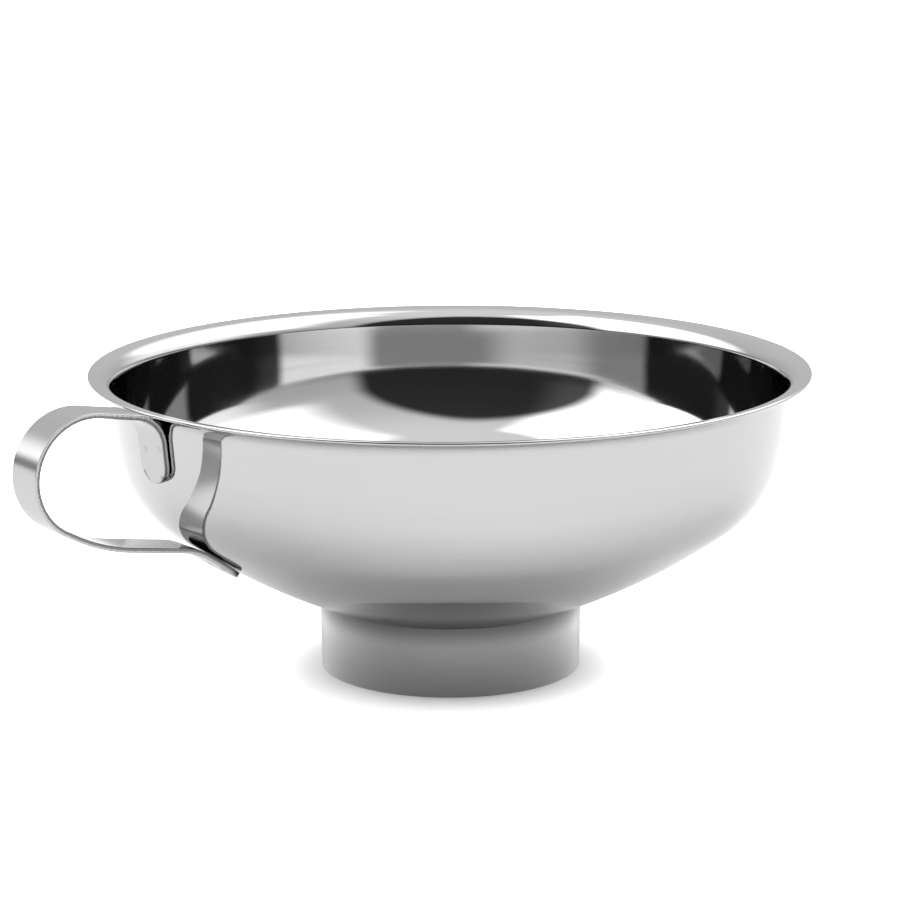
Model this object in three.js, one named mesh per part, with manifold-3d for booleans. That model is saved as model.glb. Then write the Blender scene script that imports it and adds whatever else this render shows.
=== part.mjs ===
/**
 * Stainless-steel canning funnel.
 *
 * A wide, shallow bowl drawn from sheet stands on a straight neck that drops into a jar's mouth. The bowl's
 * rim is flared into a flat lip. A flat strap, bent into a finger loop, is spot-welded to the bowl's wall just
 * under the lip, and to its underside lower down.
 *
 * Millimetres, +Z up. The funnel stands on its neck. The handle points along -X, and the origin lies on the
 * standing plane, under the middle of the overall box.
 */
import * as THREE from "three";
import { mergeVertices } from "three/addons/utils/BufferGeometryUtils.js";
import Module from "manifold-3d";

// Bowl: one sheet whose outer face runs up from the neck to the rim.
const RIM_RADIUS = 70;
const SHEET = 0.7;
const FLOOR_SLOPE = 22; // degrees above level, where the bowl leaves the neck
const FLOOR_BEND = 138.7; // radius of the floor's long, shallow curve
const SHOULDER_SLOPE = 36.6; // degrees, where the floor runs into the shoulder
const SHOULDER_BEND = 19.6;
const WALL_FOOT_SLOPE = 77; // degrees, where the shoulder opens into a wider curve
const WALL_FOOT_BEND = 53;
const WALL_SLOPE = 84.56; // degrees: the wall leans out a little
const WALL_LENGTH = 6.55;
const LIP_BEND = 2.9; // outer radius of the bend from wall to lip
const LIP_SLOPE = 10; // degrees: the lip rises a little towards its edge

// Neck: a short tube, a little narrower at its foot, let into the bowl's hole.
const NECK_FOOT_RADIUS = 25.4;
const NECK_TOP_RADIUS = 25.65;
const CREASE_HEIGHT = 13.7; // where the bowl's underside meets the neck
const NECK_TOP = CREASE_HEIGHT + 0.5; // flush with the bowl's inner face
const NECK_GAP = 0.1;

// Strap handle: a flat strip, given by its centreline in the upright plane through the funnel's axis.
const STRAP_WIDTH = 9;
const STRAP_THICKNESS = 0.8;
const STRAP_GAP = 0.25; // between the strap's tabs and the bowl
const END_CORNER = 4; // radius of the tabs' rounded corners
const UPPER_TAB_FOOT = 44.95; // height of the upper tab's lower end
const UPPER_TAB_LENGTH = 8;
const UPPER_BEND = 6.3;
const TOP_SLOPE = 9.6; // degrees: the strap leaves the wall rising a little
const TOP_RUN = 7.7;
const LOOP_BEND = 11.2; // the finger loop's round end
const LOOP_END = -147.4; // degrees: where the round end opens into a wider curve
const BACK_BEND = 35.8;
const UNDER_SLOPE = 9.1; // degrees: the lower run falls a little towards the bowl
const UNDER_RUN = 11.3;
const LOWER_BEND = 12.4;
const LOWER_TAB_SLOPE = 34.5; // degrees: the bowl's own slope under the lower tab
const LOWER_TAB_LENGTH = 9.2;

// Spot welds: plugs of fused metal that pass through the tabs, two side by side on each.
const WELD_RADIUS = 0.65;
const WELD_CLEARANCE = 0.1;
const WELD_PITCH = 5;
const WELD_SHIFT = -0.5; // both welds of a pair sit this far off the strap's middle
const WELD_PROUD = 0.05;
const UPPER_WELD_HEIGHT = 51.5;
const LOWER_WELD_FROM_END = 4.5;

const SEGMENTS = 72;
const ARC_STEP = 7.5; // degrees of turn for each facet of a bend, where no finer or coarser one is given
const FLOOR_STEP = 2.5;
const SHOULDER_STEP = 6;
const LIP_STEP = 15;
const UPPER_STEP = 12;
const CORNER_STEPS = 6;
const PLUG_SIDES = 20;
const CUT_OVERLAP = 0.5; // how far a cutting shape stands past what it cuts
const SAME_PLACE = 1e-4; // vertices closer than this are one
const SAME_SLOPE = 1e-9;

const BOWL_COLOUR = 0xd6d6d8;
const NECK_COLOUR = 0xb9babc;
const STRAP_COLOUR = 0xc4c5c7;
const SPOT_WELD_COLOUR = 0xaeaeb0;

// How rough each finish is, from a mirror's 0 to chalk's 1.
const POLISHED = 0.12;
const BRUSHED = 0.2;
const DULL = 0.35;

const wasm = await Module();
wasm.setup();

const radians = THREE.MathUtils.degToRad;

/**
 * Draws a path in the upright (radius, height) plane, as straight runs and bends that leave no
 * corner.
 */
class Bender {
  constructor(radius, height, heading) {
    this.at = new THREE.Vector2(radius, height);
    this.heading = radians(heading);
    this.stations = [];
    this.mark();
  }

  mark() {
    const normal = new THREE.Vector2(-Math.sin(this.heading), Math.cos(this.heading));
    this.stations.push({ point: this.at.clone(), normal });
  }

  run(length) {
    this.at.add(new THREE.Vector2(Math.cos(this.heading), Math.sin(this.heading)).multiplyScalar(length));
    this.mark();
    return this;
  }

  /**
   * Bends at this radius until the path heads the given way, in degrees; a smaller heading is to
   * the right.
   */
  bend(radius, heading, step = ARC_STEP) {
    const turn = radians(heading) - this.heading;
    const count = Math.max(2, Math.ceil(Math.abs(turn) / radians(step)));
    const side = Math.sign(turn) * radius;
    const centre = new THREE.Vector2(
      this.at.x - side * Math.sin(this.heading),
      this.at.y + side * Math.cos(this.heading),
    );
    for (let i = 0; i < count; i++) {
      this.at.rotateAround(centre, turn / count);
      this.heading += turn / count;
      this.mark();
    }
    return this;
  }

  /** The path moved sideways: to the left of its heading if the distance is positive. */
  offset(distance) {
    return this.stations.map(({ point, normal }) => point.clone().addScaledVector(normal, distance));
  }
}

function steel(colour, roughness) {
  return new THREE.MeshStandardMaterial({ color: colour, roughness, metalness: 1 });
}

function named(name, geometry, material) {
  const mesh = new THREE.Mesh(geometry, material);
  mesh.name = name;
  return mesh;
}

/** A ring or shell turned about +Z from a closed outline of (radius, height) points. */
function turned(outline) {
  const geometry = new THREE.LatheGeometry([...outline, outline[0].clone()], SEGMENTS);
  return geometry.rotateX(Math.PI / 2);
}

function toSolid(geometry) {
  const bare = geometry.clone();
  bare.deleteAttribute("normal");
  bare.deleteAttribute("uv");
  const welded = mergeVertices(bare, SAME_PLACE);
  const vertProperties = new Float32Array(welded.attributes.position.array);
  const triVerts = new Uint32Array(welded.index.array);
  return new wasm.Manifold(new wasm.Mesh({ numProp: 3, vertProperties, triVerts }));
}

function toGeometry(solid) {
  const mesh = solid.getMesh();
  const geometry = new THREE.BufferGeometry();
  geometry.setAttribute("position", new THREE.BufferAttribute(mesh.vertProperties, mesh.numProp));
  geometry.setIndex(new THREE.BufferAttribute(mesh.triVerts, 1));
  geometry.computeVertexNormals();
  return geometry;
}

/** The bowl's outer face, from the edge of its hole up to the edge of its lip. */
function bowlPath() {
  return new Bender(NECK_TOP_RADIUS + NECK_GAP, CREASE_HEIGHT, FLOOR_SLOPE)
    .bend(FLOOR_BEND, SHOULDER_SLOPE, FLOOR_STEP)
    .bend(SHOULDER_BEND, WALL_FOOT_SLOPE, SHOULDER_STEP)
    .bend(WALL_FOOT_BEND, WALL_SLOPE, SHOULDER_STEP)
    .run(WALL_LENGTH)
    .bend(LIP_BEND, LIP_SLOPE, LIP_STEP);
}

function bowlGeometry() {
  const path = bowlPath();
  const flare = path.stations.at(-1);
  const lipWidth = (RIM_RADIUS - flare.point.x) / Math.cos(radians(LIP_SLOPE));
  path.run(lipWidth);
  const outer = path.offset(0);
  const inner = path.offset(SHEET).reverse();
  const holeEdge = outer[0].clone();
  holeEdge.y += SHEET / Math.cos(radians(FLOOR_SLOPE)); // the hole is cut upright, to take the neck
  return turned([...outer, ...inner.slice(0, -1), holeEdge]);
}

function neckGeometry() {
  const lean = (NECK_TOP_RADIUS - NECK_FOOT_RADIUS) / CREASE_HEIGHT;
  const topRadius = NECK_FOOT_RADIUS + lean * NECK_TOP;
  return turned([
    new THREE.Vector2(NECK_FOOT_RADIUS, 0),
    new THREE.Vector2(topRadius, NECK_TOP),
    new THREE.Vector2(topRadius - SHEET, NECK_TOP),
    new THREE.Vector2(NECK_FOOT_RADIUS - SHEET, 0),
  ]);
}

/** Where the upper tab starts: beside the wall, at the tab's lower end, on the strap's centreline. */
function tabFootRadius() {
  const wallNormal = Math.cos(radians(WALL_SLOPE)) + SAME_SLOPE;
  const wallTop = bowlPath().stations.find(({ normal }) => normal.y <= wallNormal).point;
  const lean = 1 / Math.tan(radians(WALL_SLOPE));
  const wall = wallTop.x + (UPPER_TAB_FOOT - wallTop.y) * lean;
  return wall + (STRAP_GAP + STRAP_THICKNESS / 2) / Math.sin(radians(WALL_SLOPE));
}

/**
 * The strap's centreline: up the wall, out under the lip, round the finger loop and back under
 * the bowl.
 */
function strapPath() {
  return new Bender(tabFootRadius(), UPPER_TAB_FOOT, WALL_SLOPE)
    .run(UPPER_TAB_LENGTH)
    .bend(UPPER_BEND, TOP_SLOPE, UPPER_STEP)
    .run(TOP_RUN)
    .bend(LOOP_BEND, LOOP_END)
    .bend(BACK_BEND, UNDER_SLOPE - 180)
    .run(UNDER_RUN)
    .bend(LOWER_BEND, LOWER_TAB_SLOPE - 180)
    .run(LOWER_TAB_LENGTH);
}

/** Carries shapes drawn as (radius, height, across) into the handle's place: radius runs along -X. */
function handleFrame() {
  return new THREE.Matrix4().makeBasis(
    new THREE.Vector3(-1, 0, 0),
    new THREE.Vector3(0, 0, 1),
    new THREE.Vector3(0, 1, 0),
  );
}

/**
 * A place on the strap: its own X runs outwards past an end, Y across the strap and Z through the
 * sheet.
 */
function strapPlace(station, outwards, along, across) {
  const heading = new THREE.Vector2(station.normal.y, -station.normal.x).multiplyScalar(outwards);
  const point = station.point.clone().addScaledVector(heading, along);
  const local = new THREE.Matrix4().makeBasis(
    new THREE.Vector3(heading.x, heading.y, 0),
    new THREE.Vector3(0, 0, 1),
    new THREE.Vector3(heading.y, -heading.x, 0),
  );
  local.setPosition(point.x, point.y, across);
  return handleFrame().multiply(local);
}

/**
 * What a rounded corner takes off a square end: a corner square less a quarter disc, cut right
 * through.
 */
function cornerWaste(side) {
  const shape = new THREE.Shape();
  shape.moveTo(CUT_OVERLAP, -side * END_CORNER);
  shape.lineTo(CUT_OVERLAP, side * CUT_OVERLAP);
  shape.lineTo(-END_CORNER, side * CUT_OVERLAP);
  shape.absarc(-END_CORNER, -side * END_CORNER, END_CORNER, side * (Math.PI / 2), 0, side > 0);
  shape.closePath();
  const depth = STRAP_THICKNESS + 2 * CUT_OVERLAP;
  return new THREE.ExtrudeGeometry(shape, { depth, bevelEnabled: false, curveSegments: CORNER_STEPS })
    .translate(0, side * (STRAP_WIDTH / 2), -depth / 2);
}

/** The four weld places: the tab's end station, which way is out, and the distances along and across. */
function weldPlaces() {
  const path = strapPath().stations;
  const upper = UPPER_WELD_HEIGHT - UPPER_TAB_FOOT;
  const rows = { upper: [path[0], -1, -upper], lower: [path.at(-1), 1, -LOWER_WELD_FROM_END] };
  const sides = { near: -1, far: 1 };
  return Object.entries(rows).flatMap(([row, [station, outwards, along]]) =>
    Object.entries(sides).map(([side, sign]) => ({
      name: `${row}_spot_weld_${side}`,
      place: strapPlace(station, outwards, along, (sign * WELD_PITCH) / 2 + WELD_SHIFT),
    })),
  );
}

/** A disc through the sheet at a weld's place, standing this far past each face. */
function weldPlug(radius, past, place) {
  const plug = new THREE.CylinderGeometry(radius, radius, STRAP_THICKNESS + 2 * past, PLUG_SIDES);
  return plug.rotateX(Math.PI / 2).applyMatrix4(place);
}

function strapGeometry() {
  const path = strapPath();
  const half = STRAP_THICKNESS / 2;
  const outline = [...path.offset(half), ...path.offset(-half).reverse()];
  const sweep = { depth: STRAP_WIDTH, bevelEnabled: false };
  const blank = new THREE.ExtrudeGeometry(new THREE.Shape(outline), sweep)
    .translate(0, 0, -STRAP_WIDTH / 2)
    .applyMatrix4(handleFrame());
  const ends = [[path.stations[0], -1], [path.stations.at(-1), 1]];
  const waste = ends.flatMap(([station, outwards]) =>
    [-1, 1].map((side) => cornerWaste(side).applyMatrix4(strapPlace(station, outwards, 0, 0))),
  );
  const holes = weldPlaces().map(({ place }) => weldPlug(WELD_RADIUS + WELD_CLEARANCE, CUT_OVERLAP, place));
  const solid = [...waste, ...holes].reduce((strap, cut) => strap.subtract(toSolid(cut)), toSolid(blank));
  return toGeometry(solid);
}

function buildFunnel() {
  const funnel = new THREE.Group();
  funnel.add(
    named("bowl", bowlGeometry(), steel(BOWL_COLOUR, POLISHED)),
    named("neck", neckGeometry(), steel(NECK_COLOUR, BRUSHED)),
    named("strap_handle", strapGeometry(), steel(STRAP_COLOUR, BRUSHED)),
  );
  for (const { name, place } of weldPlaces()) {
    funnel.add(named(name, weldPlug(WELD_RADIUS, WELD_PROUD, place), steel(SPOT_WELD_COLOUR, DULL)));
  }
  return funnel;
}

const group = new THREE.Group();
const funnel = buildFunnel();
const box = new THREE.Box3().setFromObject(funnel);
funnel.position.x = -(box.min.x + box.max.x) / 2;
group.add(funnel);

export default group;
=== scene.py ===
"""Looks of the stainless-steel canning funnel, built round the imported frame.

The bowl, the neck, the strap handle and the spot-weld marks are surfaces worked out with numpy. The pieces'
own sizes are in millimetres, and places in the frame and round the studio are in metres. Every piece rides
on the one body, root.
"""

import logging
import math
from dataclasses import dataclass
from enum import Enum

import bmesh
import bpy
import numpy as np
from mathutils import Matrix, Vector


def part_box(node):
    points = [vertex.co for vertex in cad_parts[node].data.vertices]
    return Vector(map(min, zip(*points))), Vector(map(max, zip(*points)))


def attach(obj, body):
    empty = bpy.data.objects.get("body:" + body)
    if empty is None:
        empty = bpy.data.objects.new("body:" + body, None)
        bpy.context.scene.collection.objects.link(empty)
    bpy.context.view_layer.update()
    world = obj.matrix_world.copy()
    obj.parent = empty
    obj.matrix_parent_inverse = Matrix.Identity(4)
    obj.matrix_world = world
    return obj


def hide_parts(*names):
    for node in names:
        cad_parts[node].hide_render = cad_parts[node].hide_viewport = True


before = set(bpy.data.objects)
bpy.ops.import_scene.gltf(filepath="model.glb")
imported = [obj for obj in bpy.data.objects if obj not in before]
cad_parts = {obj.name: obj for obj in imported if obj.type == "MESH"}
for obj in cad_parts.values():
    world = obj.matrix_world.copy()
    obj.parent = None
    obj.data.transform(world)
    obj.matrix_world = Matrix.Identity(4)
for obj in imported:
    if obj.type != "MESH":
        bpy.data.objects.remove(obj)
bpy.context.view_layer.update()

log = logging.getLogger("funnel")

MM = 0.001
BODY = "root"
Array = np.ndarray
Socket = bpy.types.NodeSocket
Sockets = bpy.types.NodeOutputs


class Lay(Enum):
    """Which way a finish's polishing lines run."""

    AROUND = "around the funnel's axis"
    ALONG = "along the strip"


class Profile:
    """A path of straight runs and round bends in the upright (radius, height) plane, in millimetres."""

    def __init__(self, radius: float, height: float, heading: float) -> None:
        """Starts a path.

        Args:
            radius: Distance from the funnel's axis.
            height: Height above the standing plane.
            heading: Way the path goes, in degrees above level, outwards.
        """
        self.at = np.array([radius, height], float)
        self.heading = math.radians(heading)
        self.points: list[Array] = [self.at[None, :]]
        self.headings: list[Array] = [np.array([self.heading])]

    def run(self, length: float, steps: int = 1) -> "Profile":
        """Goes straight on: equal steps along the heading.

        Args:
            length: How far.
            steps: How many stations the run gets.

        Returns:
            The path itself.
        """
        share = np.linspace(0, 1, steps + 1)[1:, None]
        way = np.array([math.cos(self.heading), math.sin(self.heading)])
        stretch = self.at + share * length * way
        self.points.append(stretch)
        self.headings.append(np.full(steps, self.heading))
        self.at = stretch[-1]
        return self

    def bend(self, radius: float, heading: float, steps: int) -> "Profile":
        """Bends on a circle: each point is the start turned about the circle's centre.

        Args:
            radius: The circle's radius.
            heading: Where the path heads afterwards, in degrees; a smaller one than now bends to the right.
            steps: How many stations the bend gets.

        Returns:
            The path itself.
        """
        turn = math.radians(heading) - self.heading
        side = math.copysign(radius, turn)
        centre = self.at + side * np.array([-math.sin(self.heading), math.cos(self.heading)])
        angle = self.heading + turn * np.linspace(0, 1, steps + 1)[1:]
        stretch = centre + side * np.stack([np.sin(angle), -np.cos(angle)], 1)
        self.points.append(stretch)
        self.headings.append(angle)
        self.at = stretch[-1]
        self.heading = math.radians(heading)
        return self

    def stations(self) -> tuple[Array, Array]:
        """Gives the path's points and the unit normals to the left of its heading, both (n, 2)."""
        angle = np.concatenate(self.headings)
        return np.concatenate(self.points), np.stack([-np.sin(angle), np.cos(angle)], 1)


def grid_faces(rows: int, columns: int, wrap_rows: bool, wrap_columns: bool) -> Array:
    """Joins a grid of vertices, stored row by row, into quads.

    Args:
        rows: Vertices along the first parameter.
        columns: Vertices along the second parameter.
        wrap_rows: Whether the last row joins the first.
        wrap_columns: Whether the last column joins the first.

    Returns:
        Vertex numbers, (quads, 4).
    """
    i = np.arange(rows if wrap_rows else rows - 1)[:, None]
    j = np.arange(columns if wrap_columns else columns - 1)[None, :]
    i2, j2 = (i + 1) % rows, (j + 1) % columns
    corners = [i * columns + j, i * columns + j2, i2 * columns + j2, i2 * columns + j]
    return np.stack([np.broadcast_to(c, (i.size, j.size)) for c in corners], -1).reshape(-1, 4)


def make_piece(
    name: str, vertices: Array, quads: Array, uv: Array, normals: Array | None = None
) -> bpy.types.Object:
    """Makes a smooth mesh object at the origin.

    Args:
        name: The piece's name.
        vertices: Places in metres, (n, 3).
        quads: Vertex numbers, (m, 4).
        uv: The lay map, a pair for each corner of each quad, (m, 4, 2).
        normals: Exact vertex normals, (n, 3), or None to take them from the faces.

    Returns:
        The object, linked to the scene.
    """
    mesh = bpy.data.meshes.new(name)
    mesh.vertices.add(len(vertices))
    mesh.vertices.foreach_set("co", vertices.astype(np.float32).ravel())
    mesh.loops.add(quads.size)
    mesh.loops.foreach_set("vertex_index", quads.astype(np.int32).ravel())
    mesh.polygons.add(len(quads))
    mesh.polygons.foreach_set("loop_start", np.arange(0, quads.size, 4, dtype=np.int32))
    mesh.uv_layers.new(name="lay").data.foreach_set("uv", uv.astype(np.float32).ravel())
    mesh.update(calc_edges=True)
    mesh.polygons.foreach_set("use_smooth", np.ones(len(quads), bool))
    if normals is not None:
        mesh.normals_split_custom_set_from_vertices(normals.tolist())
    mesh.validate()
    piece = bpy.data.objects.new(name, mesh)
    bpy.context.scene.collection.objects.link(piece)
    return piece


def closed_lengths(outline: Array) -> Array:
    """Gives the distance along a closed outline at each of its n points, and at the first again."""
    steps = np.linalg.norm(np.roll(outline, -1, 0) - outline, axis=1)
    return np.concatenate([[0.0], np.cumsum(steps)])


def lay_map(along: Array, columns: int) -> Array:
    """Gives a grid's lay map: the millimetres from its first row, and the share of the way round.

    Args:
        along: The distance at each row of vertices, and at the first again if the rows close.
        columns: How many quads go round.

    Returns:
        A pair for each corner of each quad, (quads, 4, 2).
    """
    turn = np.linspace(0, 1, columns + 1)
    i, j = np.meshgrid(np.arange(len(along) - 1), np.arange(columns), indexing="ij")
    corners = [(i, j), (i, j + 1), (i + 1, j + 1), (i + 1, j)]
    return np.stack([np.stack([along[a], turn[b]], -1) for a, b in corners], 2).reshape(-1, 4, 2)


def turned_piece(
    name: str, outline: Array, normals: Array, axis_x: float, segments: int
) -> bpy.types.Object:
    """Turns a closed outline about the funnel's axis.

    A point at radius r and height z goes to (r cos a, r sin a, z) for each angle a round the axis, moved
    along X to the axis. The outline has its material on the left, so that the faces point outwards.

    Args:
        name: The piece's name.
        outline: (radius, height) points in millimetres.
        normals: The outward normal at each of them.
        axis_x: Where the funnel's axis stands, in metres.
        segments: How many steps round.

    Returns:
        The object.
    """
    angle = np.linspace(0, 2 * math.pi, segments, endpoint=False)
    cosine, sine = np.cos(angle), np.sin(angle)

    def swept(flat: Array) -> Array:
        """Carries (radius, height) pairs to every angle."""
        radial, height = flat[:, :1], np.repeat(flat[:, 1:], segments, 1)
        return np.stack([radial * cosine, radial * sine, height], -1).reshape(-1, 3)

    vertices = swept(outline) * MM + np.array([axis_x, 0, 0])
    quads = grid_faces(len(outline), segments, True, True)
    uv = lay_map(closed_lengths(outline), segments)
    return make_piece(name, vertices, quads, uv, swept(normals))


# --- Finishes -------------------------------------------------------------------------------------------


class Graph:
    """A short way to write a node tree: each call adds a node and gives back its output."""

    def __init__(self, tree: bpy.types.NodeTree) -> None:
        """Empties the tree to write in, and keeps it."""
        self.tree = tree
        tree.nodes.clear()

    def node(self, kind: str, **settings: object) -> bpy.types.Node:
        """Adds a node and sets its own properties.

        Args:
            kind: Blender's name for the node.
            **settings: Properties of the node and their values.

        Returns:
            The node.
        """
        made = self.tree.nodes.new(kind)
        for key, value in settings.items():
            setattr(made, key, value)
        return made

    def feed(self, socket: Socket, value: object) -> None:
        """Links an output to a socket, or sets the socket to a plain value.

        Args:
            socket: The input socket.
            value: Another node's output, or a number.
        """
        if isinstance(value, bpy.types.NodeSocket):
            self.tree.links.new(value, socket)
        else:
            socket.default_value = value

    def math(self, operation: str, *values: object) -> Socket:
        """Adds a Math node.

        Args:
            operation: Blender's name for it.
            *values: Its inputs, outputs of other nodes or numbers.

        Returns:
            The result.
        """
        made = self.node("ShaderNodeMath", operation=operation)
        for socket, value in zip(made.inputs, values):
            self.feed(socket, value)
        return made.outputs[0]

    def ramp(
        self, value: object, low: float, high: float, start: float = 0.0, end: float = 1.0
    ) -> Socket:
        """Goes smoothly from start to end as the value goes from low to high, and stays there outside.

        Args:
            value: What it follows.
            low: Where the change starts.
            high: Where the change ends.
            start: The result up to low.
            end: The result from high on.

        Returns:
            The result.
        """
        made = self.node("ShaderNodeMapRange", interpolation_type="SMOOTHSTEP")
        for socket, number in zip(made.inputs, (value, low, high, start, end)):
            self.feed(socket, number)
        return made.outputs[0]

    def vector(self, x: object, y: object, z: object) -> Socket:
        """Puts three numbers together.

        Args:
            x: The first.
            y: The second.
            z: The third.

        Returns:
            The vector.
        """
        made = self.node("ShaderNodeCombineXYZ")
        for socket, value in zip(made.inputs, (x, y, z)):
            self.feed(socket, value)
        return made.outputs[0]

    def split(self, vector: Socket) -> Sockets:
        """Takes a vector apart.

        Args:
            vector: The vector.

        Returns:
            Its three numbers.
        """
        made = self.node("ShaderNodeSeparateXYZ")
        self.feed(made.inputs[0], vector)
        return made.outputs

    def noise(self, vector: Socket, scale: float, detail: float = 2.0) -> Socket:
        """Adds a Noise texture, which is about 0.5 on average.

        Args:
            vector: Where it is read.
            scale: How fine it is.
            detail: How many finer layers it has.

        Returns:
            Its value.
        """
        made = self.node("ShaderNodeTexNoise")
        self.feed(made.inputs["Vector"], vector)
        made.inputs["Scale"].default_value = scale
        made.inputs["Detail"].default_value = detail
        return made.outputs[0]


NOISE_MEAN = 0.5
STEEL_HUE = (1.0, 1.0, 1.008)  # a trace of blue
BRIGHTEST_STEEL = 0.97
FACING_BLEND = 0.5
LINE_LAYERS = 3.0
LINE_ROUGH = 0.25  # how much of the roughness swings with the polishing lines
LINE_HEIGHT = 0.02 * MM
SLOW_AROUND = 25.0  # how quickly the lines change along themselves on a turned piece, per metre
SLOW_ALONG = 0.15  # the same on the strap, per millimetre
SMUDGE_SCALE, SMUDGE_LAYERS = 38.0, 4.0
SMUDGE_EDGES = (0.5, 0.8)
CLOUD_SCALE, CLOUD_LAYERS = 11.0, 2.0
CLOUD_CHANGE = (0.35, 0.7, 0.985, 1.015)  # the noise where it starts and ends, then the tone there
TORN_EDGES = (0.355, 0.77)  # where the two torn halves lie on the way round the strip's section
TORN_REACH = (0.04, 0.055)  # how far from there they are fully dark, and where they end
RAGGED_PER_MM, RAGGED_LAYERS = 2.2, 2.0
RAGGED_BY = 0.05  # how far their outline wanders on the way round the section


@dataclass(frozen=True)
class SteelFinish:
    """Stainless steel polished in one direction, which blurs what it mirrors across the polishing lines."""

    name: str
    tint: float
    roughness: float
    lay: Lay = Lay.AROUND
    one_way: float = 0.7
    line_pitch: float = 0.12
    line_depth: float = 0.02
    line_tint: float = 0.05
    haze: float = 0.04
    # How far the tone rises towards the outline as the view glances: a painted sheen.
    edge_sheen: float = 0.0
    # A painted shade on the neck under the bowl: how much darker the band gets at the seam, and how far
    # below it reaches.
    under_bowl_shade: float = 0.0
    seam_height: float = 13.7
    under_bowl_shade_reach: float = 4.8
    edge_dark: float = 0.0

    def build(self) -> bpy.types.Material:
        """Builds the node material.

        Polishing lines are noise drawn out along the lines' own direction: it changes quickly across them
        and slowly along them. Smudges are broad noise on the object's coordinates.

        Returns:
            The material.
        """
        material = bpy.data.materials.new(self.name)
        material.use_nodes = True
        graph = Graph(material.node_tree)
        place = graph.node("ShaderNodeTexCoord").outputs["Object"]
        flat = graph.split(graph.node("ShaderNodeUVMap", uv_map="lay").outputs[0])
        lines = graph.noise(self.line_vector(graph, flat, graph.split(place)), 1.0, LINE_LAYERS)
        shader = graph.node("ShaderNodeBsdfPrincipled")
        shader.inputs["Metallic"].default_value = 1.0
        shader.inputs["Anisotropic"].default_value = self.one_way
        colour = graph.node("ShaderNodeVectorMath", operation="SCALE")
        colour.inputs[0].default_value = STEEL_HUE
        graph.feed(colour.inputs["Scale"], self.tone(graph, lines, place, flat))
        graph.feed(shader.inputs["Base Color"], colour.outputs[0])
        smudge = graph.noise(place, SMUDGE_SCALE, SMUDGE_LAYERS)
        smudge = graph.ramp(smudge, *SMUDGE_EDGES, 0.0, self.haze)
        swing = graph.math("SUBTRACT", lines, NOISE_MEAN)
        rough = graph.math("MULTIPLY_ADD", swing, LINE_ROUGH * self.roughness, self.roughness)
        graph.feed(shader.inputs["Roughness"], graph.math("ADD", rough, smudge))
        tangent = graph.node("ShaderNodeTangent", direction_type="UV_MAP", uv_map="lay")
        graph.feed(shader.inputs["Tangent"], tangent.outputs[0])
        bump = graph.node("ShaderNodeBump")
        bump.inputs["Strength"].default_value = self.line_depth
        bump.inputs["Distance"].default_value = LINE_HEIGHT
        graph.feed(bump.inputs["Height"], lines)
        graph.feed(shader.inputs["Normal"], bump.outputs[0])
        graph.feed(graph.node("ShaderNodeOutputMaterial").inputs[0], shader.outputs[0])
        return material

    def line_vector(self, graph: Graph, flat: Sockets, where: Sockets) -> Socket:
        """Gives the coordinates that the polishing lines' noise reads: quick across the lines, slow along.

        Args:
            graph: The material's graph.
            flat: The lay map's two numbers.
            where: The object's coordinates.

        Returns:
            The coordinates.
        """
        fine = 1.0 / self.line_pitch
        if self.lay is Lay.AROUND:
            slow = [graph.math("MULTIPLY", where[k], SLOW_AROUND) for k in (0, 1)]
            return graph.vector(graph.math("MULTIPLY", flat[0], fine), *slow)
        across = graph.math("MULTIPLY", where[1], fine / MM)
        return graph.vector(across, graph.math("MULTIPLY", flat[0], SLOW_ALONG), 0.0)

    def tone(self, graph: Graph, lines: Socket, place: Socket, flat: Sockets) -> Socket:
        """Works out how much light the steel gives back.

        The tint swings a little with the polishing lines and with broad cloudiness. The neck gets a painted
        shade in a band under its seam, where the bowl overhangs it, and a painted sheen that grows the more
        glancing the view: one plus a share of the square of the facing weight. The strip's sheared edges are
        dark on their torn half.

        Args:
            graph: The material's graph.
            lines: The polishing lines' noise.
            place: The object's coordinates.
            flat: The lay map's two numbers.

        Returns:
            The tone.
        """
        swing = graph.math("SUBTRACT", lines, NOISE_MEAN)
        tone = graph.math("MULTIPLY_ADD", swing, self.line_tint * self.tint, self.tint)
        cloud = graph.ramp(graph.noise(place, CLOUD_SCALE, CLOUD_LAYERS), *CLOUD_CHANGE)
        tone = graph.math("MULTIPLY", tone, cloud)
        # Painted sheen: the tone rises towards the outline as the view glances, up to a ceiling.
        if self.edge_sheen:
            facing = graph.node("ShaderNodeLayerWeight")
            facing.inputs["Blend"].default_value = FACING_BLEND
            square = graph.math("POWER", facing.outputs["Facing"], 2.0)
            tone = graph.math("MULTIPLY", tone, graph.math("MULTIPLY_ADD", square, self.edge_sheen, 1.0))
            tone = graph.math("MINIMUM", tone, BRIGHTEST_STEEL)
        # Painted shade: the tone falls towards the seam, under the bowl's overhang.
        if self.under_bowl_shade:
            foot, top = (self.seam_height - self.under_bowl_shade_reach) * MM, self.seam_height * MM
            band = graph.ramp(graph.split(place)[2], foot, top, 1.0, 1.0 - self.under_bowl_shade)
            tone = graph.math("MULTIPLY", tone, band)
        if self.edge_dark:
            tone = graph.math("MULTIPLY", tone, self.torn_edge(graph, flat))
        return tone

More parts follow.
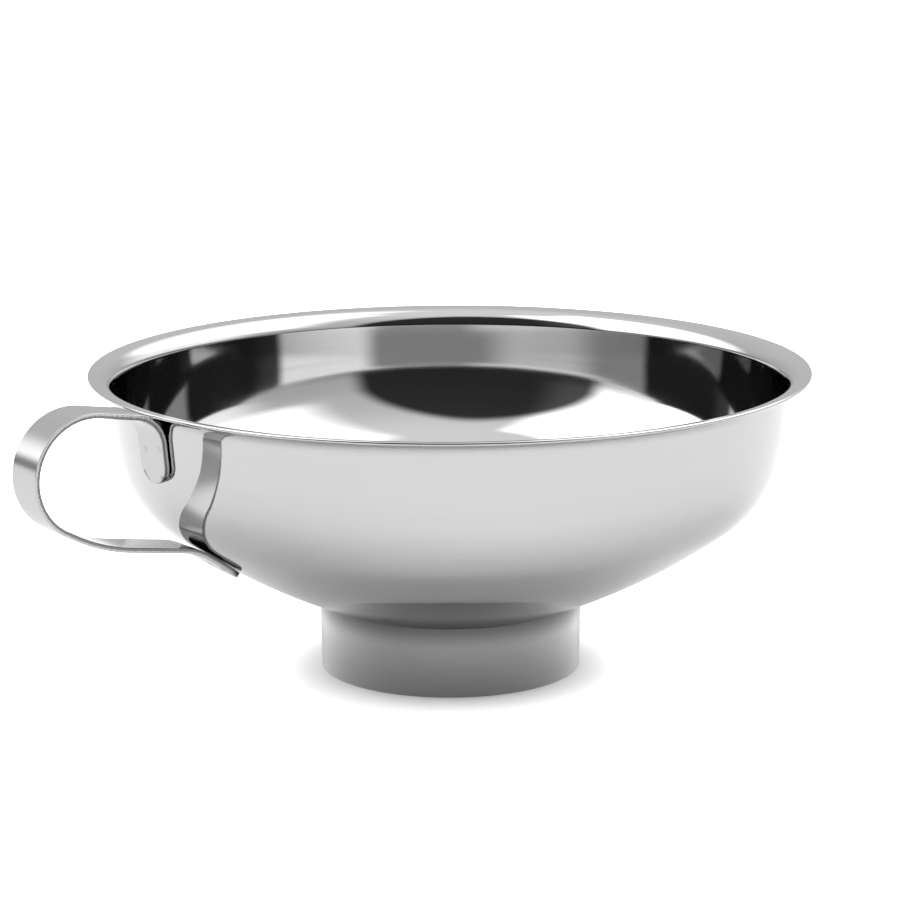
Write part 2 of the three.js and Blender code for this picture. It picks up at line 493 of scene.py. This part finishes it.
    def torn_edge(self, graph: Graph, flat: Sockets) -> Socket:
        """Darkens the half of each sheared edge that tore: a band on the lay map with a ragged outline.

        Args:
            graph: The material's graph.
            flat: The lay map's two numbers; the second goes once round the strip's section from 0 to 1.

        Returns:
            The tone's multiplier.
        """
        reading = graph.vector(graph.math("MULTIPLY", flat[0], RAGGED_PER_MM), 0.0, 0.0)
        ragged = graph.math("SUBTRACT", graph.noise(reading, 1.0, RAGGED_LAYERS), NOISE_MEAN)
        shift = graph.math("MULTIPLY", ragged, RAGGED_BY)
        left, right = (graph.math("SUBTRACT", flat[1], place) for place in TORN_EDGES)
        first = graph.math("ABSOLUTE", graph.math("ADD", left, shift))
        second = graph.math("ABSOLUTE", graph.math("SUBTRACT", right, shift))
        nearest = graph.math("MINIMUM", first, second)
        return graph.ramp(nearest, *TORN_REACH, 1.0 - self.edge_dark, 1.0)


BOWL_STEEL = SteelFinish("polished_bowl_steel", 0.52, 0.05, one_way=0.6, line_tint=0.1, line_depth=0.04)
# The neck carries a painted shade under the bowl and a painted sheen towards its outline.
NECK_STEEL = SteelFinish(
    "turned_neck_steel", 0.34, 0.2, one_way=0.5, line_tint=0.1, edge_sheen=3.3, under_bowl_shade=0.62
)
STRAP_STEEL = SteelFinish("rolled_strap_steel", 0.48, 0.17, lay=Lay.ALONG, one_way=0.6, edge_dark=0.62)
WELD_STEEL = SteelFinish("spot_weld_steel", 0.43, 0.2, one_way=0.0)


# --- Pieces ---------------------------------------------------------------------------------------------


@dataclass
class Bowl:
    """The drawn bowl: one sheet with a cone-like floor, a round shoulder, a wall and a flared lip."""

    rim_radius: float
    start: tuple[float, float]
    hole_radius: float
    axis_x: float
    sheet: float = 0.7
    floor_slope: float = 22.0
    floor_bend: float = 138.7
    shoulder_slope: float = 36.6
    shoulder_bend: float = 19.6
    wall_foot_slope: float = 77.0
    wall_foot_bend: float = 53.0
    wall_slope: float = 84.56
    wall_length: float = 6.55
    lip_bend: float = 2.9
    lip_slope: float = 10.0
    edge_round: float = 0.33
    floor_steps: int = 48
    shoulder_steps: int = 36
    wall_foot_steps: int = 20
    wall_steps: int = 10
    lip_bend_steps: int = 20
    lip_steps: int = 4
    edge_steps: int = 6
    segments: int = 320

    def outer_path(self) -> Profile:
        """Draws the outer face from the hole to just short of the lip's edge.

        Returns:
            The path.
        """
        path = Profile(*self.start, self.floor_slope)
        path.bend(self.floor_bend, self.shoulder_slope, self.floor_steps)
        path.bend(self.shoulder_bend, self.wall_foot_slope, self.shoulder_steps)
        path.bend(self.wall_foot_bend, self.wall_slope, self.wall_foot_steps)
        path.run(self.wall_length, self.wall_steps)
        path.bend(self.lip_bend, self.lip_slope, self.lip_bend_steps)
        lip = (self.rim_radius - path.at[0]) / math.cos(math.radians(self.lip_slope))
        return path.run(lip - self.edge_round, self.lip_steps)

    def build(self) -> bpy.types.Object:
        """Builds the shell: outer face, rounded lip edge, inner face a sheet away, and the hole's edge.

        Returns:
            The object.
        """
        points, normals = self.outer_path().stations()
        edge = Profile(*points[-1], self.lip_slope)
        edge.bend(self.edge_round, self.lip_slope + 90, self.edge_steps)
        edge.run(self.sheet - 2 * self.edge_round)
        edge.bend(self.edge_round, self.lip_slope + 180, self.edge_steps)
        edge_points, edge_normals = edge.stations()
        inner = (points + self.sheet * normals)[::-1]
        slope = math.radians(self.floor_slope)
        back = inner[-1][0] - self.hole_radius
        hole_edge = inner[-1] - back * np.array([1.0, math.tan(slope)])
        outline = np.concatenate([points[:-1], edge_points, inner[1:], hole_edge[None]])
        facing = np.concatenate([-normals[:-1], -edge_normals, normals[::-1][1:], normals[:1]])
        piece = turned_piece("bowl_shell", outline, facing, self.axis_x, self.segments)
        piece.data.materials.append(BOWL_STEEL.build())
        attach(piece, BODY)
        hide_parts("bowl")
        return piece


NECK_TAPER = 0.25  # how much narrower the neck's foot is than its top, in radius


@dataclass
class Neck:
    """The tube under the bowl, with a small fillet where its weld to the bowl is dressed smooth."""

    top_radius: float
    foot_radius: float
    axis_x: float
    crease_height: float = 13.7
    sheet: float = 0.7
    fillet: float = 0.35
    floor_slope: float = 22.0
    edge_round: float = 0.15
    under_bowl: float = 0.01  # how far its top stays under the bowl's inner face
    wall_steps: int = 24
    fillet_steps: int = 12
    edge_steps: int = 6
    top_steps: int = 2
    segments: int = 256

    def lean(self) -> float:
        """Gives the tube's own slope, in degrees."""
        return math.degrees(math.atan2(self.crease_height, self.top_radius - self.foot_radius))

    def tangent(self) -> float:
        """Gives how far the fillet's ends lie from the crease: radius by the tangent of half its turn."""
        return self.fillet * math.tan(math.radians(self.lean() - self.floor_slope) / 2)

    def fillet_end(self) -> tuple[float, float]:
        """Works out where the fillet runs out on the bowl's underside.

        Returns:
            The radius and the height.
        """
        slope = math.radians(self.floor_slope)
        reach = self.tangent()
        return self.top_radius + reach * math.cos(slope), self.crease_height + reach * math.sin(slope)

    def build(self) -> bpy.types.Object:
        """Builds the tube from a closed outline: up outside, over the top, down inside, round the foot.

        Returns:
            The object.
        """
        lean = self.lean()
        slant = math.radians(lean)
        rise_left = self.crease_height - self.edge_round * (1 - math.cos(slant))
        start = self.top_radius - rise_left / math.tan(slant) - self.edge_round * math.sin(slant)
        path = Profile(start, 0.0, 0.0).bend(self.edge_round, lean, self.edge_steps)
        path.run(rise_left / math.sin(slant) - self.tangent(), self.wall_steps)
        path.bend(self.fillet, self.floor_slope, self.fillet_steps)
        outside, outside_left = path.stations()
        level = math.cos(math.radians(self.floor_slope))
        rise = self.sheet / level - self.under_bowl
        back = Profile(self.top_radius, self.crease_height + rise, 180.0 + self.floor_slope)
        back.run((self.sheet - self.edge_round) / level, self.top_steps)
        back.bend(self.edge_round, 180 + lean, self.edge_steps)
        back.run(back.at[1] - self.edge_round, self.wall_steps)
        back.bend(self.edge_round, 360, self.edge_steps)
        inside, inside_left = back.stations()
        outline = np.concatenate([outside, inside])
        facing = -np.concatenate([outside_left, inside_left])
        piece = turned_piece("neck_tube", outline, facing, self.axis_x, self.segments)
        piece.data.materials.append(NECK_STEEL.build())
        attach(piece, BODY)
        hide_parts("neck")
        return piece


@dataclass
class Strap:
    """The flat strip bent into a finger loop, with a round-cornered tab at each end."""

    bowl: Bowl
    width: float
    thickness: float = 1.0
    gap: float = 0.1
    corner: float = 4.0
    tab_foot: float = 44.95
    tab_length: float = 8.0
    upper_bend: float = 6.3
    top_slope: float = 9.6
    top_run: float = 7.7
    loop_bend: float = 11.2
    loop_end: float = -147.4
    back_bend: float = 35.8
    under_slope: float = 9.1
    under_run: float = 11.3
    lower_bend: float = 12.4
    lower_slope: float = 34.5
    lower_length: float = 9.2
    step: float = 0.12
    tooth: float = 0.012
    tooth_stations: int = 3
    tooth_seed: int = 7
    tooth_band: float = 0.3  # the share of the rounding over which a point still counts as on the edge
    edge_round: float = 0.12
    corner_points: int = 5
    face_points: tuple[float, ...] = (-0.97, -0.6, 0.0, 0.6, 0.97)
    # About how far each bend turns, in radians, which says how many stations it gets.
    upper_turn: float = 1.3
    loop_turn: float = 2.74
    back_turn: float = 0.41
    lower_turn: float = 0.44

    def path(self) -> Profile:
        """Draws the centreline: up the wall, out under the lip, round the loop and back under the bowl.

        Returns:
            The path.
        """
        outer = self.bowl.outer_path()
        points, slopes = outer.stations()[0], np.concatenate(outer.headings)
        wall_slope = math.radians(self.bowl.wall_slope)
        lean = 1 / math.tan(wall_slope)
        top = next(p for p, slope in zip(points, slopes) if math.isclose(slope, wall_slope))
        foot = top[0] + (self.tab_foot - top[1]) * lean + self.gap + self.thickness / 2
        path = Profile(foot, self.tab_foot, self.bowl.wall_slope)
        path.run(self.tab_length, self.steps(self.tab_length))
        path.bend(self.upper_bend, self.top_slope, self.steps(self.upper_bend * self.upper_turn))
        path.run(self.top_run, self.steps(self.top_run))
        path.bend(self.loop_bend, self.loop_end, self.steps(self.loop_bend * self.loop_turn))
        back_steps = self.steps(self.back_bend * self.back_turn)
        path.bend(self.back_bend, self.under_slope - 180, back_steps)
        path.run(self.under_run, self.steps(self.under_run))
        lower_steps = self.steps(self.lower_bend * self.lower_turn)
        path.bend(self.lower_bend, self.lower_slope - 180, lower_steps)
        return path.run(self.lower_length, self.steps(self.lower_length))

    def steps(self, length: float) -> int:
        """Says how many stations a stretch of this length gets."""
        return max(2, round(length / self.step))

    def section(self) -> Array:
        """Draws the section: factors across and through the strap, once round a rounded rectangle.

        Returns:
            (n, 4) rows: the share of the half width, the millimetres off it, the share of the half
            thickness, and the millimetres off that. A corner's arc is the corner moved by the rounding.
        """
        arc = np.linspace(0, math.pi / 2, self.corner_points)
        rows: list[list[float]] = [[share, 0.0, 1.0, 0.0] for share in self.face_points]
        up = [self.edge_round * (math.sin(a) - 1) for a in arc]
        down = [self.edge_round * (math.cos(a) - 1) for a in arc]
        rows += [[1.0, aside, 1.0, through] for aside, through in zip(up, down)]
        rows += [[1.0, 0.0, 0.0, 0.0]]
        rows += [[1.0, aside, -1.0, -through] for aside, through in zip(down, up)]
        half = np.array(rows)
        other = half.copy()
        other[:, [0, 2]] *= -1
        other[:, [1, 3]] *= -1
        return np.concatenate([half, other])

    def build(self) -> bpy.types.Object:
        """Sweeps the section along the centreline.

        The half width is full along the strap and drops on a quarter circle over each end's last
        millimetres. The edges get fine teeth from shearing: seeded random moves in or out, joined smoothly.

        Returns:
            The object.
        """
        points, left = self.path().stations()
        along = np.concatenate([[0.0], np.cumsum(np.linalg.norm(np.diff(points, axis=0), axis=1))])
        to_end = np.minimum(along, along[-1] - along)
        inside = np.maximum(self.corner - to_end, 0)
        drop = self.corner - np.sqrt(np.maximum(self.corner**2 - inside**2, 0))
        random = np.random.default_rng(self.tooth_seed)
        coarse = random.uniform(-1, 1, (len(points) // self.tooth_stations + 2, 2))
        station = np.arange(len(points)) / self.tooth_stations
        knots = np.arange(len(coarse))
        teeth = self.tooth * np.stack([np.interp(station, knots, coarse[:, k]) for k in (0, 1)], 1)
        shape = self.section()
        side = (shape[:, 0] > 0).astype(int)
        on_side = (np.abs(shape[:, 0]) == 1.0) & (
            np.abs(shape[:, 1]) < self.tooth_band * self.edge_round
        )
        half = self.width / 2 - drop[:, None] + teeth[:, side] * on_side
        across = shape[:, 0] * half + shape[:, 1]
        through = shape[:, 2] * self.thickness / 2 + shape[:, 3]
        radius = points[:, :1] + left[:, :1] * through
        height = points[:, 1:] + left[:, 1:] * through
        vertices = np.stack([-radius, across, height], -1).reshape(-1, 3) * MM
        vertices[:, 0] += self.bowl.axis_x
        quads = grid_faces(len(points), len(shape), False, True)
        piece = make_piece("strap_loop", vertices, quads, lay_map(along, len(shape)))
        close_ends(piece)
        piece.data.materials.append(STRAP_STEEL.build())
        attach(piece, BODY)
        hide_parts("strap_handle")
        return piece


# Each mark's node, whether it is on the upper tab, how far it sits off the strap's middle towards -Y, and
# its height on the upper tab or its distance from the lower tab's end.
WELDS = (
    ("upper_spot_weld_near", True, 3.0, 51.85),
    ("upper_spot_weld_far", True, -2.0, 51.1),
    ("lower_spot_weld_near", False, 3.0, 4.5),
    ("lower_spot_weld_far", False, -2.0, 4.5),
)


@dataclass
class SpotWeld:
    """The mark an electrode leaves on a tab: a shallow dish with a faint raised ring."""

    strap: Strap
    node: str
    upper: bool
    off_middle: float
    station_at: float
    radius: float = 0.72
    ring_radius: float = 0.52
    ring_width: float = 0.13
    ring_height: float = 0.04
    proud: float = 0.008
    centre: float = 0.02  # radius of the small flat in the middle
    rim_drop: float = 0.06
    rim_power: int = 12
    past_tab: float = 0.02
    lay_step: float = 0.1
    sides: int = 40
    rings: int = 24

    def build(self) -> bpy.types.Object:
        """Builds the mark from a closed outline turned about the weld's own axis.

        The height over the tab's face is a small constant, plus a bell curve round the ring's radius, less
        a steep power of the radius that takes the rim below the face. The outline then goes through the
        tab to just past its other face.

        Returns:
            The object.
        """
        points, left = self.strap.path().stations()
        lengths = np.concatenate([[0.0], np.cumsum(np.linalg.norm(np.diff(points, axis=0), axis=1))])
        wall = math.sin(math.radians(self.strap.bowl.wall_slope))
        up_wall = (self.station_at - self.strap.tab_foot) / wall
        along = up_wall if self.upper else lengths[-1] - self.station_at
        station = int(np.argmin(np.abs(lengths - along)))
        facing = -left[station] if self.upper else left[station]
        radius = np.linspace(self.centre, self.radius, self.rings)
        bell = self.ring_height * np.exp(-(((radius - self.ring_radius) / self.ring_width) ** 2))
        drop = self.rim_drop * (radius / self.radius) ** self.rim_power
        height = self.strap.thickness / 2 + self.proud + bell - drop
        radius = np.concatenate([radius, [self.radius, self.centre]])
        height = np.concatenate([height, [-self.strap.thickness / 2 - self.past_tab] * 2])
        angle = np.linspace(0, 2 * math.pi, self.sides, endpoint=False)
        across = -self.off_middle + radius[:, None] * np.cos(angle)
        way = np.array([-facing[1], facing[0]])
        reach = radius[:, None] * np.sin(angle)
        middle = points[station]
        out = middle[0] + facing[0] * height[:, None] + way[0] * reach
        up = middle[1] + facing[1] * height[:, None] + way[1] * reach
        vertices = np.stack([-out, across, up], -1).reshape(-1, 3) * MM
        vertices[:, 0] += self.strap.bowl.axis_x
        quads = grid_faces(len(radius), self.sides, False, True)
        uv = lay_map(self.lay_step * np.arange(len(radius)), self.sides)
        piece = make_piece(f"{self.node}_mark", vertices, quads, uv)
        close_ends(piece)
        piece.data.materials.append(WELD_STEEL.build())
        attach(piece, BODY)
        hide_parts(self.node)
        return piece


def close_ends(piece: bpy.types.Object) -> None:
    """Closes a swept piece's open ends, and turns every face outwards.

    Args:
        piece: The piece to close.
    """
    mesh = bmesh.new()
    mesh.from_mesh(piece.data)
    open_edges = [e for e in mesh.edges if e.is_boundary]
    bmesh.ops.holes_fill(mesh, edges=open_edges, sides=0)
    bmesh.ops.recalc_face_normals(mesh, faces=mesh.faces)
    mesh.to_mesh(piece.data)
    mesh.free()


# --- Studio ---------------------------------------------------------------------------------------------


@dataclass(frozen=True)
class SoftBox:
    """A light patch or an opening in the tent: bearings from straight behind the funnel, all in degrees."""

    bearing: float
    half_width: float
    low: float
    high: float
    light: float
    side_blur: float
    end_blur: float = 5.0


SOFT_BOXES = (
    SoftBox(bearing=-99, half_width=42, low=9, high=70, light=1.5, side_blur=9, end_blur=3),
    SoftBox(bearing=70, half_width=52, low=23, high=76, light=1.3, side_blur=14),
    SoftBox(bearing=66, half_width=32, low=9, high=23, light=0.75, side_blur=16, end_blur=3),
)
OPENING = SoftBox(bearing=191, half_width=46, low=0, high=58, light=0.05, side_blur=0.1)
# Smooth changes round the tent: the angles in degrees where each starts and ends, then the light there.
CLOTH_LOW = (0.0, 25.0, 0.5, 0.68)
CLOTH_HIGH = (25.0, 75.0, 0.0, 0.3)
SKIRT_SIDES = (30.0, 60.0, 0.0, 1.0)
SKIRT_TOP = (4.0, 9.0, 0.65, 0.0)
HALF_TURN = 180.0
WHITE = (1.0, 1.0, 1.0, 1.0)


@dataclass
class Studio:
    """The floor, the soft light all round, and the camera, set up round the funnel's own axis."""

    axis_x: float
    handle_turn: float = 34.63  # degrees that the handle points towards the camera from its left
    camera_back: float = 0.5942
    camera_up: float = 0.1737
    camera_pitch: float = 12.437
    camera_roll: float = -0.211
    lens: float = 124.68
    sight: float = 50.0
    floor_radius: float = 6.0
    floor_sides: int = 64
    floor_mirrored: float = 0.86
    floor_seen: float = 2.0
    # How far the painted shade round the foot reaches, in metres, and how many samples it takes.
    contact_shade_reach: float = 0.0105
    contact_shade_samples: int = 16
    backdrop: float = 1.05
    light: float = 1.2

    def turned(self) -> Matrix:
        """Gives the turn about Z from the camera's own bearing to the frame's."""
        return Matrix.Rotation(math.radians(-self.handle_turn), 4, "Z")

    def add_camera(self) -> None:
        """Places the camera in front of the funnel and above it, looking down a little, a trace rolled."""
        pitch = math.radians(self.camera_pitch)
        forward = Vector((0.0, math.cos(pitch), -math.sin(pitch)))
        right = Vector((1.0, 0.0, 0.0))
        up = right.cross(forward)
        roll = math.radians(self.camera_roll)
        side = right * math.cos(roll) + up * math.sin(roll)
        top = up * math.cos(roll) - right * math.sin(roll)
        axes = Matrix((side, top, -forward)).transposed().to_4x4()
        place = Matrix.Translation((0, -self.camera_back, self.camera_up))
        camera = bpy.data.objects.new("camera", bpy.data.cameras.new("camera"))
        camera.data.lens = self.lens
        camera.data.clip_end = self.sight
        camera.matrix_world = Matrix.Translation((self.axis_x, 0, 0)) @ self.turned() @ place @ axes
        bpy.context.scene.collection.objects.link(camera)
        bpy.context.scene.camera = camera

    def add_floor(self) -> None:
        """Lays a wide pale floor, brighter to the eye than to the steel, with a painted shade round the
        foot.
        """
        angle = np.linspace(0, 2 * math.pi, self.floor_sides, endpoint=False)
        rim = np.stack([np.cos(angle), np.sin(angle), 0 * angle], 1) * self.floor_radius
        mesh = bpy.data.meshes.new("floor")
        mesh.from_pydata(rim.tolist(), [], [list(range(self.floor_sides))])
        floor = bpy.data.objects.new("floor", mesh)
        bpy.context.scene.collection.objects.link(floor)
        material = bpy.data.materials.new("pale_floor")
        material.use_nodes = True
        graph = Graph(material.node_tree)
        diffuse = graph.node("ShaderNodeBsdfDiffuse")
        diffuse.inputs[0].default_value = (*[self.floor_mirrored] * 3, 1)
        # Painted shade: an occlusion reading darkens the floor's colour close to the foot, as the camera
        # sees it.
        painted_contact_shade = graph.node("ShaderNodeAmbientOcclusion", samples=self.contact_shade_samples)
        painted_contact_shade.inputs["Distance"].default_value = self.contact_shade_reach
        painted_contact_shade.inputs["Color"].default_value = (*[self.floor_seen] * 3, 1)
        seen = graph.node("ShaderNodeBsdfDiffuse")
        graph.feed(seen.inputs[0], painted_contact_shade.outputs["Color"])
        pick = graph.node("ShaderNodeMixShader")
        graph.feed(pick.inputs[0], graph.node("ShaderNodeLightPath").outputs["Is Camera Ray"])
        graph.feed(pick.inputs[1], diffuse.outputs[0])
        graph.feed(pick.inputs[2], seen.outputs[0])
        graph.feed(graph.node("ShaderNodeOutputMaterial").inputs[0], pick.outputs[0])
        mesh.materials.append(material)

    def add_light(self) -> None:
        """Surrounds the funnel with a soft tent of light.

        Brightness depends on the bearing from straight behind the funnel and on the elevation: pale cloth,
        a big soft box on each side, a low one under the right one, and a dark opening round the camera.
        """
        world = bpy.data.worlds.new("tent")
        bpy.context.scene.world = world
        world.use_nodes = True
        graph = Graph(world.node_tree)
        way = graph.split(graph.node("ShaderNodeTexCoord").outputs["Generated"])
        turn = math.radians(self.handle_turn)
        across = [graph.math("MULTIPLY", way[k], math.cos(turn)) for k in (0, 1)]
        aside = [graph.math("MULTIPLY", way[k], math.sin(turn)) for k in (0, 1)]
        x = graph.math("SUBTRACT", across[0], aside[1])
        y = graph.math("ADD", aside[0], across[1])
        bearing = graph.math("DEGREES", graph.math("ARCTAN2", x, y))
        elevation = graph.math("DEGREES", graph.math("ARCSINE", way[2]))
        total = self.tent(graph, bearing, elevation)
        lit = graph.node("ShaderNodeBackground")
        graph.feed(lit.inputs["Strength"], graph.math("MULTIPLY", total, self.light))
        lit.inputs[0].default_value = WHITE
        white = graph.node("ShaderNodeBackground")
        white.inputs[0].default_value = WHITE
        white.inputs["Strength"].default_value = self.backdrop
        pick = graph.node("ShaderNodeMixShader")
        graph.feed(pick.inputs[0], graph.node("ShaderNodeLightPath").outputs["Is Camera Ray"])
        graph.feed(pick.inputs[1], lit.outputs[0])
        graph.feed(pick.inputs[2], white.outputs[0])
        graph.feed(graph.node("ShaderNodeOutputWorld").inputs[0], pick.outputs[0])

    def soft_box(self, graph: Graph, box: SoftBox, bearing: object, elevation: object) -> Socket:
        """Works out one soft box's brightness: its light within its edges, falling off smoothly across them.

        Args:
            graph: The world's graph.
            box: The soft box.
            bearing: The way looked, in degrees from straight behind the funnel.
            elevation: The same, in degrees above level.

        Returns:
            The brightness.
        """
        aside = graph.math("SUBTRACT", bearing, box.bearing)
        aside = graph.math("ABSOLUTE", graph.math("WRAP", aside, HALF_TURN, -HALF_TURN))
        inner, outer = box.half_width - box.side_blur, box.half_width + box.side_blur
        value = graph.ramp(aside, inner, outer, box.light, 0.0)
        over = graph.ramp(elevation, box.low - box.end_blur, box.low + box.end_blur)
        under = graph.ramp(elevation, box.high + box.end_blur, box.high - box.end_blur)
        return graph.math("MULTIPLY", graph.math("MULTIPLY", value, over), under)

    def tent(self, graph: Graph, bearing: object, elevation: object) -> Socket:
        """Adds up the tent: pale cloth with a dark skirt at the sides, soft boxes, and the arched opening.

        The opening is where the square of the bearing's share of its half width and the square of the
        elevation's share of its height add up to less than one.

        Args:
            graph: The world's graph.
            bearing: The way looked, in degrees from straight behind the funnel.
            elevation: The same, in degrees above level.

        Returns:
            The brightness.
        """
        cloth = graph.ramp(elevation, *CLOTH_LOW)
        cloth = graph.math("ADD", cloth, graph.ramp(elevation, *CLOTH_HIGH))
        sideways = graph.ramp(graph.math("ABSOLUTE", bearing), *SKIRT_SIDES)
        skirt = graph.math("MULTIPLY", sideways, graph.ramp(elevation, *SKIRT_TOP))
        cloth = graph.math("MULTIPLY", cloth, graph.math("SUBTRACT", 1.0, skirt))
        for box in SOFT_BOXES:
            cloth = graph.math("ADD", cloth, self.soft_box(graph, box, bearing, elevation))
        aside = graph.math("SUBTRACT", bearing, OPENING.bearing)
        aside = graph.math("WRAP", aside, HALF_TURN, -HALF_TURN)
        aside = graph.math("DIVIDE", graph.math("ABSOLUTE", aside), OPENING.half_width)
        up = graph.math("DIVIDE", graph.math("MAXIMUM", elevation, 0.0), OPENING.high)
        squares = [graph.math("POWER", share, 2.0) for share in (aside, up)]
        arch = graph.math("SQRT", graph.math("ADD", *squares))
        blur = OPENING.side_blur
        return graph.math("MULTIPLY", cloth, graph.ramp(arch, 1.0 - blur, 1.0 + blur, OPENING.light, 1.0))

    def build(self) -> None:
        """Sets up everything round the funnel."""
        self.add_camera()
        self.add_floor()
        self.add_light()
        bpy.context.scene.view_settings.view_transform = "Standard"


def main() -> None:
    """Builds the studio and the funnel's pieces, and reports each piece."""
    logging.basicConfig(level=logging.INFO, format="%(name)s: %(message)s")
    low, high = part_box("bowl")
    neck_low, neck_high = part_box("neck")
    axis_x = (low.x + high.x) / 2
    neck_radius = (neck_high.x - neck_low.x) / 2 / MM
    Studio(axis_x).build()
    neck = Neck(top_radius=neck_radius, foot_radius=neck_radius - NECK_TAPER, axis_x=axis_x)
    rim_radius = (high.x - low.x) / 2 / MM
    bowl = Bowl(rim_radius, start=neck.fillet_end(), hole_radius=neck.top_radius, axis_x=axis_x)
    strap_low, strap_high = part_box("strap_handle")
    strap = Strap(bowl, width=(strap_high.y - strap_low.y) / MM)
    welds = [SpotWeld(strap, *where).build() for where in WELDS]
    for piece in (bowl.build(), neck.build(), strap.build(), *welds):
        log.info("%s: %d faces", piece.name, len(piece.data.polygons))


if __name__ == "__main__":
    main()
